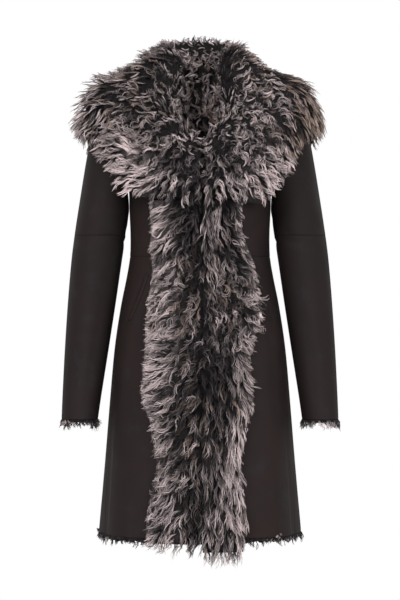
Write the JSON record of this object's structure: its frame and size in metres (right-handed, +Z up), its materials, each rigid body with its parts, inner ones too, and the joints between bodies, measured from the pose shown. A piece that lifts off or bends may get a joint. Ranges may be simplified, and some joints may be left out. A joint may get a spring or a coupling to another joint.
{
  "type": "shearling coat",
  "caption": "Long dark shearling coat in its worn shape, fitted at the waist, with a curly long-wool cape collar and front edging, slanted pockets and set-in sleeves.",
  "frame": {"origin": "where the wearer's shoulders carry the coat, midway between the two points where a shoulder seam meets the neckline", "axes": "+Z up, -Y to the front, +X to the wearer's left"},
  "size_m": [0.5494, 0.3464, 1.0361],
  "materials": {
    "dark_leather": "soft matt sheepskin leather, brown black, with fine grain and worn bluish lights",
    "long_wool": "long curly sheep's wool, black at the root and pale pinkish grey at the tip",
    "short_wool": "short dense dark wool with some pale tips"
  },
  "bodies": {
    "root": {"front_bodice_left": "dark_leather", "front_skirt_left": "dark_leather", "back_bodice_left": "dark_leather", "back_skirt_left": "dark_leather", "upper_sleeve_left": "dark_leather", "lower_sleeve_left": "dark_leather", "pocket_welt_left": "dark_leather", "collar_left": "long_wool", "front_fur_left": "long_wool", "hem_wool_left": "short_wool", "cuff_wool_left": "short_wool", "front_bodice_right": "dark_leather", "front_skirt_right": "dark_leather", "back_bodice_right": "dark_leather", "back_skirt_right": "dark_leather", "upper_sleeve_right": "dark_leather", "lower_sleeve_right": "dark_leather", "pocket_welt_right": "dark_leather", "collar_right": "long_wool", "front_fur_right": "long_wool", "hem_wool_right": "short_wool", "cuff_wool_right": "short_wool"}
  },
  "joints": []
}
